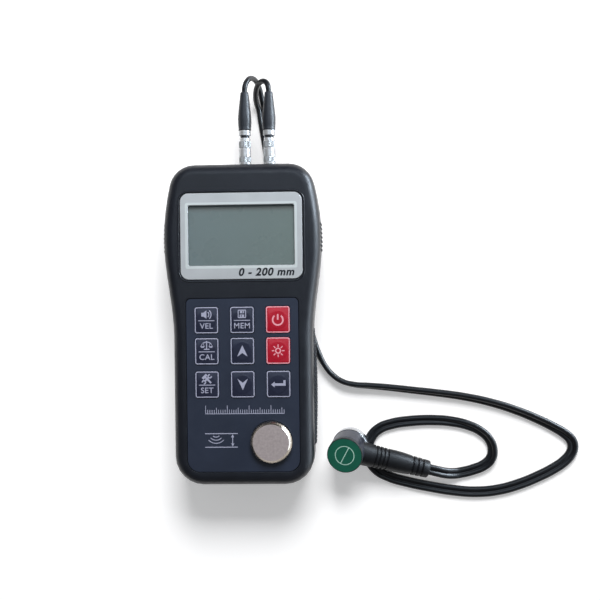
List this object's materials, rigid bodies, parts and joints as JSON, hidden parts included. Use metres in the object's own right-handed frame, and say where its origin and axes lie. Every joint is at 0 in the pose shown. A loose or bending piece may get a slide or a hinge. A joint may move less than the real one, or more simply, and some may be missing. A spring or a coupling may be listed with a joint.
{
  "type": "ultrasonic thickness gauge",
  "caption": "Handheld ultrasonic thickness gauge with display, membrane keypad, steel test disc, battery hump and a plug-in dual probe on a twin lead.",
  "frame": {"origin": "middle of the case's width, 74.5 mm from its bottom end, on the plane that the battery hump rests on", "axes": "+X to the right of the face, +Y towards the plugs, +Z out of the face"},
  "size_m": [0.1941, 0.2025, 0.0342],
  "materials": {
    "housing": "fine satin",
    "seal": "matt",
    "steel": "plain",
    "bezel": "satin",
    "window": "clear",
    "lcd": "grey green",
    "white_plastic": "plain",
    "overlay": "fine texture",
    "key_blue": "fine texture",
    "key_red": "fine texture",
    "board": "plain",
    "chip": "plain",
    "disc": "ground",
    "plug_metal": "satin plated",
    "spring_metal": "plated",
    "cell": "plain wrap",
    "boot": "matt",
    "cord": "satin",
    "probe_metal": "turned",
    "barrel": "satin",
    "green_cap": "satin",
    "wear_face": "ground",
    "cork": "plain"
  },
  "bodies": {
    "gauge": {"front_case": "housing", "back_case": "housing", "case_gasket": "seal", "case_screws": "steel", "display_bezel": "bezel", "display_window": "window", "lcd_panel": "lcd", "lcd_backlight": "white_plastic", "lcd_holder": "white_plastic", "keypad_overlay": "overlay", "snap_domes": "spring_metal", "main_board": "board", "board_chips": "chip", "board_screws": "steel", "calibration_disc": "disc", "socket_left": "plug_metal", "socket_right": "plug_metal", "socket_nuts": "plug_metal", "cell_left": "cell", "cell_right": "cell", "battery_springs": "spring_metal", "battery_plates": "spring_metal", "plug_body_left": "plug_metal", "plug_body_right": "plug_metal", "plug_nut_left": "plug_metal", "plug_nut_right": "plug_metal", "plug_boot_left": "boot", "plug_boot_right": "boot", "lead_left": "cord", "lead_right": "cord", "cord_twin": "cord", "probe_ring": "probe_metal", "probe_barrel": "barrel", "probe_cap": "green_cap", "probe_boot": "boot", "probe_faces": "wear_face", "probe_barrier": "cork", "probe_damper": "chip"},
    "key_velocity_body": {"key_velocity": "key_blue"},
    "key_save_body": {"key_save": "key_blue"},
    "key_power_body": {"key_power": "key_red"},
    "key_calibrate_body": {"key_calibrate": "key_blue"},
    "key_up_body": {"key_up": "key_blue"},
    "key_light_body": {"key_light": "key_red"},
    "key_settings_body": {"key_settings": "key_blue"},
    "key_down_body": {"key_down": "key_blue"},
    "key_enter_body": {"key_enter": "key_blue"},
    "battery_cover_body": {"battery_cover": "housing"},
    "plug_sleeve_left_body": {"plug_sleeve_left": "plug_metal"},
    "plug_sleeve_right_body": {"plug_sleeve_right": "plug_metal"}
  },
  "joints": [
    {"name": "key_velocity_press", "type": "slide", "parent": "gauge", "child": "key_velocity_body", "axis": [0, 0, -1], "range_m": [0, 0.0004], "stiffness_N_per_m": 1500},
    {"name": "key_save_press", "type": "slide", "parent": "gauge", "child": "key_save_body", "axis": [0, 0, -1], "range_m": [0, 0.0004], "stiffness_N_per_m": 1500},
    {"name": "key_power_press", "type": "slide", "parent": "gauge", "child": "key_power_body", "axis": [0, 0, -1], "range_m": [0, 0.0004], "stiffness_N_per_m": 1500},
    {"name": "key_calibrate_press", "type": "slide", "parent": "gauge", "child": "key_calibrate_body", "axis": [0, 0, -1], "range_m": [0, 0.0004], "stiffness_N_per_m": 1500},
    {"name": "key_up_press", "type": "slide", "parent": "gauge", "child": "key_up_body", "axis": [0, 0, -1], "range_m": [0, 0.0004], "stiffness_N_per_m": 1500},
    {"name": "key_light_press", "type": "slide", "parent": "gauge", "child": "key_light_body", "axis": [0, 0, -1], "range_m": [0, 0.0004], "stiffness_N_per_m": 1500},
    {"name": "key_settings_press", "type": "slide", "parent": "gauge", "child": "key_settings_body", "axis": [0, 0, -1], "range_m": [0, 0.0004], "stiffness_N_per_m": 1500},
    {"name": "key_down_press", "type": "slide", "parent": "gauge", "child": "key_down_body", "axis": [0, 0, -1], "range_m": [0, 0.0004], "stiffness_N_per_m": 1500},
    {"name": "key_enter_press", "type": "slide", "parent": "gauge", "child": "key_enter_body", "axis": [0, 0, -1], "range_m": [0, 0.0004], "stiffness_N_per_m": 1500},
    {"name": "battery_cover_slide", "type": "slide", "parent": "gauge", "child": "battery_cover_body", "axis": [0, -1, 0], "range_m": [0, 0.052]},
    {"name": "plug_sleeve_left_pull", "type": "slide", "parent": "gauge", "child": "plug_sleeve_left_body", "axis": [0, 1, 0], "range_m": [0, 0.0009], "stiffness_N_per_m": 1000},
    {"name": "plug_sleeve_right_pull", "type": "slide", "parent": "gauge", "child": "plug_sleeve_right_body", "axis": [0, 1, 0], "range_m": [0, 0.0009], "stiffness_N_per_m": 1000}
  ]
}
